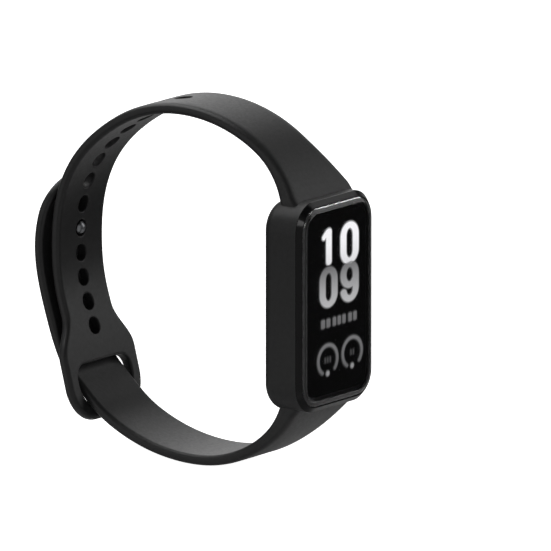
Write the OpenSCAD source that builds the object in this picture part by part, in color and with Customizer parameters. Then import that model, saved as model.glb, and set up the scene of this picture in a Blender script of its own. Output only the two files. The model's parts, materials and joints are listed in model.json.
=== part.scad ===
// Fitness tracker band: a rectangular tracker on a closed two-piece strap.
// Millimetres. +Z runs up the tracker's long side, the screen faces -Y and
// +X lies along the wrist. The origin is the middle of the wrist opening.

/* [Tracker] */
// Height of the tracker, along Z
tracker_h = 42.7; // [38:0.1:48]
// Width of the tracker, along X
tracker_w = 26.5; // [22:0.1:32]
// Thickness of the tracker, from glass face to back
tracker_d = 10.0; // [9.6:0.1:11]
// Corner radius of the case seen from the front
case_corner_r = 6.0; // [4:0.1:8]
// Radius of the rounding round the case's back
back_edge_r = 2.85; // [1:0.05:2.9]
// Depth of the case's front rim behind the glass face
rim_depth = 1.5; // [1.4:0.05:1.7]
// Distance from the tracker's middle to the middle of the wrist opening
track_to_wrist = 31.0; // [28:0.5:36]

/* [Glass and display] */
// Height of the sloped bezel in front of the rim
bezel_h = 1.15; // [0.8:0.05:1.2]
// Width the bezel's slope takes off each side
bezel_slope = 1.0; // [0.6:0.05:1.1]
// Thickness of the cover glass
glass_t = 0.9; // [0.7:0.05:1]
// Gap between glass and bezel
glass_gap = 0.06; // [0.03:0.01:0.1]
// Radius along the glass's front edge
glass_edge_r = 0.6; // [0.2:0.05:0.8]
// Half width and half height of the display panel
panel_half_w = 10.2; // [9:0.1:10.8]
panel_half_h = 18.2; // [16:0.1:18.8]

/* [Strap] */
// Thickness of the strap
strap_t = 2.2; // [1.8:0.1:2.6]
// Width of the strap side that has the holes
hole_strap_w = 15.8; // [14:0.1:18]
// Width of the plain strap side
plain_strap_w = 16.4; // [14:0.1:18]
// Width of both straps where they meet the case
flare_w = 20.6; // [18:0.1:22]
// Radius along the strap's long edges
strap_edge_r = 0.8; // [0.3:0.05:1]
// Diameter of the size holes
hole_d = 3.5; // [3:0.1:3.9]
// Spacing of the size holes, measured on the strap's inner face
hole_pitch = 5.0; // [4.5:0.1:6]
// Number of size holes
hole_count = 13; // [9:1:14]

/* [Loop] */
// Width of the loop at the end of the strap with the holes
loop_w = 23.8; // [22:0.1:26]
// Width of the loop's slot
slot_w = 19.0; // [17:0.1:20]
// Start and end of the slot along the strap's straight end
slot_start = 12.4; // [12:0.1:12.4]
slot_end = 22.0; // [22:0.1:23]
// Length of the strap's straight end, up to the end of the loop
loop_end = 24.3; // [24:0.1:26]

/* [Stud] */
// Radius of the stud's domed head
stud_head_r = 1.3; // [1:0.05:1.4]
// Radius of the stud's neck
stud_neck_r = 1.0; // [0.7:0.05:1.1]
// Radius of the flat cap on the outside of the tail
stud_cap_r = 3.0; // [2:0.1:4]

/* [Release buttons] */
// Half width and half length of each button's pad
button_half_w = 2.6; // [2:0.1:3.5]
button_half_l = 0.9; // [0.6:0.05:1.2]
// How far the pad stands proud of the strap's inner face
button_proud = 0.3; // [0.1:0.05:0.5]

/* [Inside] */
// Thickness of the battery cell
battery_t = 3.3; // [2.5:0.1:3.3]
// Thickness of the main board
board_t = 0.6; // [0.4:0.1:0.8]
// Radius of the vibration motor
motor_r = 3.9; // [3:0.1:4]
// Radius of the sensor window on the back
window_r = 6.55; // [5:0.05:7]
// How far the sensor window stands proud of the back
window_proud = 0.45; // [0.2:0.05:1]

/* [Hidden] */
$fn = 96;

// Tracker levels along Y, measured from the tracker's middle
front_y = -tracker_d / 2;
back_y = tracker_d / 2;
rim_y = front_y + rim_depth;
half_w = tracker_w / 2;
half_h = tracker_h / 2;
bezel_y = rim_y - bezel_h;
glass_back_y = front_y + glass_t;
seat_y = glass_back_y + 0.25;
glass_half_w = half_w - bezel_slope - 0.15;
glass_half_h = half_h - bezel_slope - 0.15;
glass_r = case_corner_r - bezel_slope - 0.15;
panel_y = glass_back_y + 0.15;
panel_r = 3;
light_y = panel_y + 1.05;
recess_y = -2.35;
frame_y = -2.3;
cell_y = -1.7;
board_y = 1.9;
board_top_y = board_y + board_t;
cover_y = back_y - 1.05;
seal_y = cover_y - 0.2;
post_x = 10.1;
post_z = 15.4;
motor_x = -5.2;
motor_z = 11.6;

// A strap path is a chain of arcs in the Y-Z plane, on the strap's inner
// face. Each heading is an angle from +Y towards +Z. The upper side turns
// clockwise and the lower side turns anticlockwise.
function right_centre(p, h, r) = p + r * [sin(h), -cos(h)];
function right_point(c, h, r) = c + r * [-sin(h), cos(h)];
function left_centre(p, h, r) = p + r * [-sin(h), cos(h)];
function left_point(c, h, r) = c + r * [sin(h), -cos(h)];
function ahead(p, h, d) = p + d * [cos(h), sin(h)];
function turned(r, d) = d / r * 180 / PI;

// Upper side, from the tracker over the top and down to the loop
up_p0 = [2.0, 20.0];
up_h0 = 64.2;
up_r1 = 25.91;
up_h1 = 28.8;
up_r2 = 33.05;
up_h2 = -0.6;
up_r3 = 28.16;
up_h3 = -64;
up_r4 = 35.13;
up_h4 = -107.5;
up_c1 = right_centre(up_p0, up_h0, up_r1);
up_p1 = right_point(up_c1, up_h1, up_r1);
up_c2 = right_centre(up_p1, up_h1, up_r2);
up_p2 = right_point(up_c2, up_h2, up_r2);
up_c3 = right_centre(up_p2, up_h2, up_r3);
up_p3 = right_point(up_c3, up_h3, up_r3);
up_c4 = right_centre(up_p3, up_h3, up_r4);
up_p4 = right_point(up_c4, up_h4, up_r4);
up_outer_r = 39.06;
up_outer_c = right_centre(right_point(up_c1, up_h1, up_r1 + strap_t), up_h1, up_outer_r);

// Path lengths at the end of each arc of the upper side
up_s1 = up_r1 * (up_h0 - up_h1) * PI / 180;
up_s2 = up_s1 + up_r2 * (up_h1 - up_h2) * PI / 180;
up_s3 = up_s2 + up_r3 * (up_h2 - up_h3) * PI / 180;
up_s4 = up_s3 + up_r4 * (up_h3 - up_h4) * PI / 180;
function up_heading(s) =
  s < up_s1 ? up_h0 - turned(up_r1, s) :
  s < up_s2 ? up_h1 - turned(up_r2, s - up_s1) :
  s < up_s3 ? up_h2 - turned(up_r3, s - up_s2) :
  s < up_s4 ? up_h3 - turned(up_r4, s - up_s3) : up_h4;
function up_point(s) =
  s < up_s1 ? right_point(up_c1, up_heading(s), up_r1) :
  s < up_s2 ? right_point(up_c2, up_heading(s), up_r2) :
  s < up_s3 ? right_point(up_c3, up_heading(s), up_r3) :
  s < up_s4 ? right_point(up_c4, up_heading(s), up_r4) : ahead(up_p4, up_h4, s - up_s4);
stud_s = 76.3;
first_hole_s = stud_s - 8 * hole_pitch;

// Lower side, from the tracker under the wrist and out through the loop
lo_p0 = [2.27, -20.0];
lo_h0 = -61.6;
lo_r1 = 25.11;
lo_h1 = -0.8;
lo_r2 = 40;
lo_h2 = 30;
lo_r3 = 20;
lo_h3 = 44;
lo_run = 8.2;
lo_r4 = 6;
lo_h4 = 64;
lo_c1 = left_centre(lo_p0, lo_h0, lo_r1);
lo_p1 = left_point(lo_c1, lo_h1, lo_r1);
lo_c2 = left_centre(lo_p1, lo_h1, lo_r2);
lo_p2 = left_point(lo_c2, lo_h2, lo_r2);
lo_c3 = left_centre(lo_p2, lo_h2, lo_r3);
lo_p3 = left_point(lo_c3, lo_h3, lo_r3);
lo_p4 = ahead(lo_p3, lo_h3, lo_run);
lo_c4 = left_centre(lo_p4, lo_h3, lo_r4);
lo_p5 = left_point(lo_c4, lo_h4, lo_r4);
lo_mid_h = -25.1;
lo_outer_r = 39.1;
lo_outer_c = left_centre(left_point(lo_c1, lo_mid_h, lo_r1 + strap_t), lo_mid_h, lo_outer_r);

// Tail, up the outside of the strap with the holes
tail_r1 = 52;
tail_h1 = 88;
tail_r2 = 34;
tail_h2 = 114.7;
tail_c1 = left_centre(lo_p5, lo_h4, tail_r1);
tail_p1 = left_point(tail_c1, tail_h1, tail_r1);
tail_c2 = left_centre(tail_p1, tail_h1, tail_r2);
tip_h = tail_h2 - turned(tail_r2, plain_strap_w / 2);
tip_p = left_point(tail_c2, tip_h, tail_r2);
hinge_p = left_point(lo_c4, lo_h4, lo_r4 + strap_t / 2);
knuckle_r = strap_t / 2;
knuckle_gap = 0.3;

// How far a joining arc runs into its neighbours, and how much smaller its
// section is
join_lap = 0.3;
join_inset = 0.03;

// Height of the tail's faces above the inner face of the strap it lies on
tail_in = 3.13;
tail_out = 5.34;

// The pressing button's frame: a point on the strap's inner face
button_s = 4.4;
button_travel = 0.7;
lo_button_h = lo_h0 + turned(lo_r1, button_s);
lo_button_p = left_point(lo_c1, lo_button_h, lo_r1);

module at_tracker() {
  translate([0, -track_to_wrist, 0]) children();
}

// A solid with a rounded-rectangle outline. The child is its edge profile,
// drawn from the corner's axis (x = 0) out to the corner radius.
module rounded_block(hw, hh, r, y0, y1) {
  for (sx = [-1, 1], sz = [-1, 1])
    translate([sx * (hw - r), 0, sz * (hh - r)])
      rotate([-90, 0, 0]) rotate_extrude() children(0);
  translate([0, 0, r - hh])
    linear_extrude(2 * (hh - r)) edge_pair(hw - r, y0, y1) children(0);
  rotate([0, 90, 0])
    translate([0, 0, r - hw])
      linear_extrude(2 * (hw - r)) edge_pair(hh - r, y0, y1) children(0);
}

module edge_pair(c, y0, y1) {
  translate([c, 0]) children(0);
  mirror([1, 0]) translate([c, 0]) children(0);
  translate([-c, y0]) square([2 * c, y1 - y0]);
}

// A plain prism with a rounded-rectangle outline, between two Y levels
module plate(hw, hh, r, y0, y1) {
  for (sx = [-1, 1], sz = [-1, 1])
    translate([sx * (hw - r), y0, sz * (hh - r)])
      rotate([-90, 0, 0]) cylinder(r = r, h = y1 - y0);
  translate([-hw, y0, r - hh]) cube([2 * hw, y1 - y0, 2 * (hh - r)]);
  translate([r - hw, y0, -hh]) cube([2 * (hw - r), y1 - y0, 2 * hh]);
}

// A box between two corners
module span(a, b) {
  translate(a) cube(b - a);
}

// A disc or rod along Y
module rod(x, z, r, y0, y1) {
  translate([x, y0, z]) rotate([-90, 0, 0]) cylinder(r = r, h = y1 - y0);
}

// The strap's cross-section: x from the inner face outwards, y across,
// with its outline moved in by the given amount
module strap_section(w, inset = 0) {
  e = strap_edge_r;
  translate([e, inset - w / 2]) square([strap_t - 2 * e, w - 2 * inset]);
  translate([inset, e - w / 2]) square([strap_t - 2 * inset, w - 2 * e]);
  for (x = [e, strap_t - e], y = [e - w / 2, w / 2 - e])
    translate([x, y]) circle(e - inset);
}

// A strap arc about a centre in the Y-Z plane
module strap_arc(c, r, a0, a1, w, inset = 0) {
  translate([0, c[0], c[1]])
    rotate([90, 0, 90])
      rotate([0, 0, a0])
        rotate_extrude(angle = a1 - a0) translate([r, 0]) strap_section(w, inset);
}

// An arc that joins its neighbours by running a little way inside them
module joining_arc(c, r, a0, a1, w) {
  strap_arc(c, r, a0 - turned(r, join_lap), a1 + turned(r, join_lap), w, join_inset);
}

// A straight stretch of strap from a point, outside on the given side
module strap_run(p, h, d, w, side) {
  translate([0, p[0], p[1]])
    rotate([h, 0, 0])
      rotate([-90, 0, 0])
        linear_extrude(d) rotate(-90 * side) strap_section(w);
}

// Local frame on a strap: +Y ahead along it, +Z square to it
module on_strap(p, h) {
  translate([0, p[0], p[1]]) rotate([h, 0, 0]) children();
}

// The thick root of a strap, between its inner arc and a flatter outer arc
module root_slab(ci, ri, co, ro, corners) {
  rotate([90, 0, 90])
    translate([0, 0, -flare_w / 2])
      linear_extrude(flare_w)
        intersection() {
          difference() {
            translate(co) circle(ro);
            translate(ci) circle(ri);
          }
          polygon(corners);
        }
}

// Outline that narrows a root from the case's width to the strap's
module root_outline(w, z0, z1, z2) {
  rotate([90, 0, 0])
    translate([0, 0, -40])
      linear_extrude(80)
        polygon([[-flare_w / 2, z0], [flare_w / 2, z0], [flare_w / 2, z1],
          [w / 2, z2], [-w / 2, z2], [-flare_w / 2, z1]]);
}

// Space the case and the tongue take out of a strap's root
module root_socket(s) {
  plate(half_w + 0.05, half_h + 0.05, case_corner_r + 0.05, -4, 8);
  tongue(s);
}

module tongue(s) {
  span([-8.5, -1.22, s * 19.675 - 1.725], [8.5, 2.12, s * 19.675 + 1.725]);
  span([-7.5, 0, s * 20.25 - 2.35], [7.5, 1.9, s * 20.25 + 2.35]);
}

// Pocket of a release button: a narrow mouth and a wider chamber. The
// pocket opens at z = 0 and runs to the side given.
module button_pocket(side) {
  mirror([0, 0, side > 0 ? 0 : 1]) {
    span([-button_half_w - 0.1, -button_half_l - 0.1, -1],
      [button_half_w + 0.1, button_half_l + 0.1, 0.6]);
    span([-button_half_w - 0.45, -button_half_l - 0.35, 0.45],
      [button_half_w + 0.45, button_half_l + 0.35, 2.5]);
  }
}

module button_shape(side) {
  mirror([0, 0, side > 0 ? 0 : 1]) {
    span([-button_half_w, -button_half_l, -button_proud],
      [button_half_w, button_half_l, 0.6]);
    span([-button_half_w - 0.35, -button_half_l - 0.25, 0.5],
      [button_half_w + 0.35, button_half_l + 0.25, 1.2]);
  }
}

module spring_shape(side) {
  mirror([0, 0, side > 0 ? 0 : 1])
    for (x = [-1.6, 1.6]) translate([x, 0, 0]) {
      for (z = [1.35, 1.85, 2.35])
        translate([0, 0, z]) rotate_extrude() translate([0.6, 0]) circle(0.12);
      translate([0.6, 0, 1.35]) cylinder(r = 0.1, h = 0.5);
      translate([-0.6, 0, 1.85]) cylinder(r = 0.1, h = 0.5);
    }
}

module cover_glass() {
  color([0.02, 0.02, 0.025])
    at_tracker()
      rounded_block(glass_half_w, glass_half_h, glass_r, front_y, glass_back_y) {
        union() {
          translate([0, front_y + glass_edge_r])
            square([glass_r, glass_t - glass_edge_r]);
          translate([0, front_y]) square([glass_r - glass_edge_r, glass_t]);
          intersection() {
            translate([glass_r - glass_edge_r, front_y + glass_edge_r])
              circle(glass_edge_r);
            translate([0, front_y]) square([glass_r, glass_edge_r]);
          }
        }
      }
}

module glass_gasket() {
  color([0.05, 0.05, 0.05])
    at_tracker()
      difference() {
        plate(glass_half_w - 0.1, glass_half_h - 0.1, glass_r - 0.1,
          glass_back_y, seat_y);
        plate(11.05, 19.15, 3.85, glass_back_y - 1, seat_y + 1);
      }
}

module bezel_ring() {
  color([0.08, 0.08, 0.09])
    at_tracker()
      difference() {
        rounded_block(half_w, half_h, case_corner_r, bezel_y, rim_y)
          polygon([[0, bezel_y], [case_corner_r - bezel_slope, bezel_y],
            [case_corner_r, rim_y], [0, rim_y]]);
        plate(glass_half_w + glass_gap, glass_half_h + glass_gap,
          glass_r + glass_gap, bezel_y - 1, seat_y);
        plate(11, 19.1, 3.8, bezel_y - 1, rim_y + 1);
      }
}

module case_body() {
  color([0.12, 0.12, 0.13])
    at_tracker() {
      difference() {
        rounded_block(half_w, half_h, case_corner_r, rim_y, back_y) {
          union() {
            translate([0, rim_y])
              square([case_corner_r, back_y - back_edge_r - rim_y]);
            translate([0, rim_y])
              square([case_corner_r - back_edge_r, back_y - rim_y]);
            translate([case_corner_r - back_edge_r, back_y - back_edge_r])
              circle(back_edge_r);
          }
        }
        plate(11.9, 20, 4.65, rim_y - 1, recess_y);
        plate(11.4, 17.2, 2.5, recess_y - 1, seal_y - 0.3);
        plate(9.4, 17.5, 2.3, seal_y - 1, back_y + 1);
        plate(10.36, 18.46, 3.26, seal_y, back_y + 1);
        for (s = [-1, 1])
          span([-8.6, -1.3, s * 19.95 - 2.05], [8.6, 2.2, s * 19.95 + 2.05]);
      }
      for (sx = [-1, 1], sz = [-1, 1])
        difference() {
          union() {
            rod(sx * post_x, sz * post_z, 1.3, frame_y + 0.6, board_y);
            span([sx * 11 - 0.7, frame_y + 0.6, sz * post_z - 1.3],
              [sx * 11 + 0.7, board_y, sz * post_z + 1.3]);
          }
          rod(sx * post_x, sz * post_z, 0.5, 0, board_y + 1);
        }
    }
}

module display_adhesive() {
  color([0.85, 0.87, 0.9])
    at_tracker()
      plate(panel_half_w, panel_half_h, panel_r, glass_back_y, panel_y);
}

module display_panel() {
  color([0.03, 0.03, 0.04])
    at_tracker()
      plate(panel_half_w, panel_half_h, panel_r, panel_y, light_y);
}

module backlight_tray() {
  color([0.82, 0.83, 0.84])
    at_tracker()
      difference() {
        plate(panel_half_w, panel_half_h, panel_r, light_y, recess_y - 0.05);
        plate(panel_half_w - 0.5, panel_half_h - 0.5, panel_r - 0.5,
          light_y - 1, light_y + 0.3);
      }
}

module display_flex() {
  color([0.75, 0.42, 0.12])
    at_tracker() {
      span([-3, -2.395, -17.14], [3, -2.305, -14]);
      span([-3, -2.395, -17.14], [3, board_top_y + 0.09, -17.05]);
      span([-3, board_top_y, -17.14], [3, board_top_y + 0.09, -14.6]);
    }
}

module inner_frame() {
  color([0.6, 0.61, 0.62])
    at_tracker()
      difference() {
        plate(11.3, 16.9, 2.2, frame_y, frame_y + 0.5);
        plate(5, 3.5, 1, frame_y - 1, frame_y + 1);
        translate([0, 0, 12]) plate(3, 2, 1, frame_y - 1, frame_y + 1);
      }
}

module battery_cell() {
  color([0.62, 0.64, 0.66])
    at_tracker()
      translate([0, 0, -3.5]) plate(9.6, 10.5, 1, cell_y, cell_y + battery_t);
}

module battery_pad() {
  color([0.9, 0.9, 0.85])
    at_tracker()
      span([-8, frame_y + 0.5, -12], [8, cell_y, -4.2]);
}

module battery_lead() {
  color([0.7, 0.1, 0.08])
    at_tracker() {
      span([3, 0.5, 7], [6, 0.65, 9]);
      span([3, 0.5, 8.85], [6, board_y, 9]);
    }
}

module motor_can() {
  color([0.72, 0.72, 0.73])
    at_tracker()
      difference() {
        rod(motor_x, motor_z, motor_r, -1.65, 1.05);
        rod(motor_x, motor_z, motor_r - 0.25, -1.4, 2);
      }
}

module motor_base() {
  color([0.2, 0.35, 0.2])
    at_tracker() {
      rod(motor_x, motor_z, motor_r - 0.25, 0.75, 1.05);
      rod(motor_x, motor_z, 0.4, -1.35, 0.9);
    }
}

module motor_magnet() {
  color([0.25, 0.25, 0.26])
    at_tracker()
      difference() {
        rod(motor_x, motor_z, 2.9, 0.25, 0.75);
        rod(motor_x, motor_z, 1.3, 0, 1);
      }
}

module motor_rotor() {
  color([0.55, 0.5, 0.42])
    at_tracker()
      translate([motor_x, -1.2, motor_z])
        rotate([-90, 0, 0]) {
          rotate_extrude() translate([0.45, 0]) square([0.7, 1.1]);
          rotate_extrude(angle = 200) translate([0.9, 0]) square([2.4, 1]);
        }
}

module main_board() {
  color([0.05, 0.25, 0.12])
    at_tracker()
      difference() {
        plate(11, 16.9, 2, board_y, board_top_y);
        for (sx = [-1, 1], sz = [-1, 1])
          rod(sx * post_x, sz * post_z, 0.55, board_y - 1, board_top_y + 1);
        span([-3.3, board_y - 1, -18], [3.3, board_top_y + 1, -16.6]);
      }
}

module board_screws() {
  color([0.75, 0.75, 0.77])
    at_tracker()
      for (sx = [-1, 1], sz = [-1, 1])
        difference() {
          union() {
            rod(sx * post_x, sz * post_z, 0.49, 0.4, board_top_y + 0.1);
            rod(sx * post_x, sz * post_z, 0.95, board_top_y, board_top_y + 0.4);
          }
          span([sx * post_x - 0.6, board_top_y + 0.2, sz * post_z - 0.1],
            [sx * post_x + 0.6, board_top_y + 1, sz * post_z + 0.1]);
          span([sx * post_x - 0.1, board_top_y + 0.2, sz * post_z - 0.6],
            [sx * post_x + 0.1, board_top_y + 1, sz * post_z + 0.6]);
        }
}

module shield_can() {
  color([0.78, 0.79, 0.8])
    at_tracker()
      difference() {
        span([-8, board_top_y, 6.8], [5, board_top_y + 1, 14.4]);
        span([-7.8, board_top_y - 1, 7], [4.8, board_top_y + 0.8, 14.2]);
      }
}

module processor_chip() {
  color([0.06, 0.06, 0.06])
    at_tracker()
      span([-5, board_top_y, 8], [0, board_top_y + 0.7, 13]);
}

module board_chips() {
  color([0.08, 0.08, 0.09])
    at_tracker() {
      span([6.2, board_top_y, 7], [9, board_top_y + 0.7, 10]);
      span([7.2, board_top_y, -2], [9.6, board_top_y + 0.7, 1]);
      span([-9.8, board_top_y, -5], [-7.4, board_top_y + 0.6, -2.4]);
      span([-9.8, board_top_y, 1], [-8, board_top_y + 0.5, 3]);
      span([-9, board_top_y, -9.4], [-6.4, board_top_y + 0.6, -7.6]);
    }
}

module board_connectors() {
  color([0.85, 0.82, 0.72])
    at_tracker() {
      span([-3.2, board_top_y + 0.09, -16.4], [3.2, board_top_y + 0.7, -14.8]);
      span([-2, board_top_y, -9.2], [2, board_top_y + 0.6, -7.4]);
    }
}

module antenna_strip() {
  color([0.8, 0.62, 0.25])
    at_tracker() {
      span([-7, -1.4, 16.95], [7, 1.5, 17.1]);
      span([6, -1.4, 16], [6.15, 1.5, 17]);
    }
}

module sensor_board() {
  color([0.05, 0.3, 0.15])
    at_tracker() rod(0, 0, 6.4, 3.1, 3.4);
}

module sensor_leds() {
  color([0.75, 0.9, 0.7])
    at_tracker()
      for (z = [-0.9, 0.9]) span([-0.8, 3.4, z - 0.6], [0.8, 3.8, z + 0.6]);
}

module photodiodes() {
  color([0.1, 0.1, 0.15])
    at_tracker()
      for (x = [-3.6, 3.6]) span([x - 1.1, 3.4, -1.2], [x + 1.1, 3.7, 1.2]);
}

module sensor_barrier() {
  color([0.03, 0.03, 0.03])
    at_tracker() {
      difference() {
        rod(0, 0, 6.2, 3.4, 4);
        rod(0, 0, 5.6, 3, 5);
      }
      for (x = [-1.8, 1.8]) span([x - 0.3, 3.4, -5.4], [x + 0.3, 4, 5.4]);
    }
}

module sensor_window() {
  color([0.06, 0.06, 0.07])
    at_tracker() {
      rod(0, 0, window_r, 4, back_y + window_proud);
    }
}

module rear_cover() {
  color([0.1, 0.1, 0.11])
    at_tracker()
      difference() {
        plate(10.3, 18.4, 3.2, cover_y, back_y);
        rod(0, 0, window_r + 0.04, cover_y - 1, back_y + 1);
        for (x = [-3, 3]) rod(x, -13, 1.04, cover_y - 1, back_y + 1);
      }
}

module rear_seal() {
  color([0.3, 0.3, 0.3])
    at_tracker()
      difference() {
        plate(10.3, 18.4, 3.2, seal_y, cover_y);
        plate(9.5, 17.6, 2.4, seal_y - 1, cover_y + 1);
      }
}

module charge_contacts() {
  color([0.85, 0.68, 0.3])
    at_tracker()
      for (x = [-3, 3]) {
        rod(x, -13, 1, cover_y - 0.3, back_y - 0.12);
        rod(x, -13, 1.5, cover_y - 0.45, cover_y);
        rod(x, -13, 0.45, board_top_y, cover_y - 0.2);
      }
}

module dock_magnets() {
  color([0.7, 0.7, 0.72])
    at_tracker()
      for (x = [-7, 7]) span([x - 1.2, cover_y - 0.95, -15], [x + 1.2, cover_y, -11]);
}

module strap_tongues() {
  color([0.16, 0.16, 0.17])
    at_tracker() {
      tongue(1);
      tongue(-1);
    }
}

module upper_button() {
  color([0.2, 0.2, 0.21])
    at_tracker()
      on_strap(up_point(button_s), up_heading(button_s)) button_shape(1);
}

module lower_button() {
  color([0.2, 0.2, 0.21])
    at_tracker() on_strap(lo_button_p, lo_button_h) button_shape(-1);
}

module upper_spring() {
  color([0.8, 0.8, 0.82])
    at_tracker()
      on_strap(up_point(button_s), up_heading(button_s)) spring_shape(1);
}

module lower_spring() {
  color([0.8, 0.8, 0.82])
    at_tracker() on_strap(lo_button_p, lo_button_h) spring_shape(-1);
}

module loop_plate() {
  on_strap(up_p4, up_h4)
    difference() {
      linear_extrude(strap_t) {
        polygon([[-hole_strap_w / 2, 0], [hole_strap_w / 2, 0],
          [hole_strap_w / 2, 3.5], [loop_w / 2 - 0.9, 8.2],
          [loop_w / 2, 11.5], [loop_w / 2, 16.3], [-loop_w / 2, 16.3],
          [-loop_w / 2, 11.5], [0.9 - loop_w / 2, 8.2],
          [-hole_strap_w / 2, 3.5]]);
        for (s = [-1, 1]) translate([s * (loop_w / 2 - 8), loop_end - 8]) circle(8);
        translate([8 - loop_w / 2, 16]) square([loop_w - 16, loop_end - 16]);
      }
      translate([0, 0, -1])
        linear_extrude(strap_t + 2) {
          translate([-slot_w / 2, slot_start + 3])
            square([slot_w, slot_end - slot_start - 7]);
          translate([3 - slot_w / 2, slot_start])
            square([slot_w - 6, slot_end - slot_start]);
          for (s = [-1, 1]) {
            translate([s * (slot_w / 2 - 3), slot_start + 3]) circle(3);
            translate([s * (slot_w / 2 - 4), slot_end - 4]) circle(4);
          }
        }
    }
}

module hole_strap() {
  color([0.13, 0.13, 0.14])
    at_tracker()
      difference() {
        union() {
          intersection() {
            root_slab(up_c1, up_r1, up_outer_c, up_outer_r,
              [[-1.5, 19], [2.4, 19], right_point(up_c1, up_h1, up_r1 - 0.02),
              right_point(up_c1, up_h1, up_r1 + strap_t + 1), [-1.5, 24]]);
            root_outline(hole_strap_w, 18, 21.6, up_p1[1] + 2);
          }
          joining_arc(up_c2, up_r2, up_h2 + 90, up_h1 + 90, hole_strap_w);
          strap_arc(up_c3, up_r3, up_h3 + 90, up_h2 + 90, hole_strap_w);
          joining_arc(up_c4, up_r4, up_h4 + 90, up_h3 + 90, hole_strap_w);
          loop_plate();
        }
        root_socket(1);
        on_strap(up_point(button_s), up_heading(button_s)) button_pocket(1);
        for (i = [0 : hole_count - 1])
          on_strap(up_point(first_hole_s + i * hole_pitch),
            up_heading(first_hole_s + i * hole_pitch))
            translate([0, 0, -2]) cylinder(r = hole_d / 2, h = strap_t + 4);
      }
}

module plain_strap() {
  color([0.13, 0.13, 0.14])
    at_tracker()
      difference() {
        union() {
          intersection() {
            root_slab(lo_c1, lo_r1, lo_outer_c, lo_outer_r,
              [[-1.5, -19], [2.7, -19], left_point(lo_c1, lo_mid_h, lo_r1 - 0.02),
              left_point(lo_c1, lo_mid_h, lo_r1 + strap_t + 1), [-1.5, -24]]);
            root_outline(plain_strap_w, -18, -21.6, left_point(lo_c1, lo_mid_h, lo_r1)[1] - 2);
          }
          joining_arc(lo_c1, lo_r1, lo_mid_h - 90, lo_h1 - 90, plain_strap_w);
          strap_arc(lo_c2, lo_r2, lo_h1 - 90, lo_h2 - 90, plain_strap_w);
          joining_arc(lo_c3, lo_r3, lo_h2 - 90, lo_h3 - 90, plain_strap_w);
          strap_run(lo_p3, lo_h3, lo_run, plain_strap_w, -1);
          joining_arc(lo_c4, lo_r4, lo_h3 - 90, lo_h4 - 90, plain_strap_w);
        }
        root_socket(-1);
        on_strap(lo_button_p, lo_button_h) button_pocket(-1);
        translate([-15, hinge_p[0], hinge_p[1]])
          rotate([0, 90, 0]) cylinder(r = knuckle_r + knuckle_gap, h = 30);
      }
}

module strap_tail() {
  color([0.13, 0.13, 0.14])
    at_tracker()
      difference() {
        union() {
          intersection() {
            union() {
              strap_arc(tail_c1, tail_r1, lo_h4 - 90, tail_h1 - 90, plain_strap_w);
              joining_arc(tail_c2, tail_r2, tail_h1 - 90, tail_h2 - 90, plain_strap_w);
            }
            on_strap(tip_p, tip_h) {
              translate([-12, -60, -12]) cube([24, 60, 30]);
              translate([0, 0, -12]) cylinder(r = plain_strap_w / 2, h = 30);
            }
          }
          translate([-plain_strap_w / 2, hinge_p[0], hinge_p[1]])
            rotate([0, 90, 0])
              translate([0, 0, join_inset])
                cylinder(r = knuckle_r - join_inset, h = plain_strap_w - 2 * join_inset);
        }
        on_strap(up_point(stud_s), up_heading(stud_s)) {
          cylinder(r = stud_neck_r, h = 8);
          translate([0, 0, tail_out - 0.45]) cylinder(r = stud_cap_r + 0.05, h = 4);
        }
      }
}

module stud_pin() {
  color([0.72, 0.72, 0.74])
    at_tracker()
      on_strap(up_point(stud_s), up_heading(stud_s)) {
        cylinder(r = stud_neck_r, h = tail_out - 0.45);
        translate([0, 0, 0.35]) cylinder(r = stud_head_r, h = 0.7);
        intersection() {
          translate([0, 0, 0.95]) sphere(stud_head_r + 0.15);
          translate([0, 0, -1]) cylinder(r = stud_head_r, h = 1.4);
        }
      }
}

module stud_cap() {
  color([0.3, 0.3, 0.31])
    at_tracker()
      on_strap(up_point(stud_s), up_heading(stud_s))
        translate([0, 0, tail_out - 0.45]) cylinder(r = stud_cap_r, h = 0.75);
}

cover_glass();
glass_gasket();
bezel_ring();
case_body();
display_adhesive();
display_panel();
backlight_tray();
display_flex();
inner_frame();
battery_cell();
battery_pad();
battery_lead();
motor_can();
motor_base();
motor_magnet();
motor_rotor();
main_board();
board_screws();
shield_can();
processor_chip();
board_chips();
board_connectors();
antenna_strip();
sensor_board();
sensor_leds();
photodiodes();
sensor_barrier();
sensor_window();
rear_cover();
rear_seal();
charge_contacts();
dock_magnets();
strap_tongues();
upper_button();
lower_button();
upper_spring();
lower_spring();
hole_strap();
plain_strap();
strap_tail();
stud_pin();
stud_cap();
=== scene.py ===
"""Fitness tracker band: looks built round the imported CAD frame, in metres."""
import json
import math

import bmesh
import bpy
import numpy as np
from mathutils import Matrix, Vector
from mathutils.geometry import delaunay_2d_cdt


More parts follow.
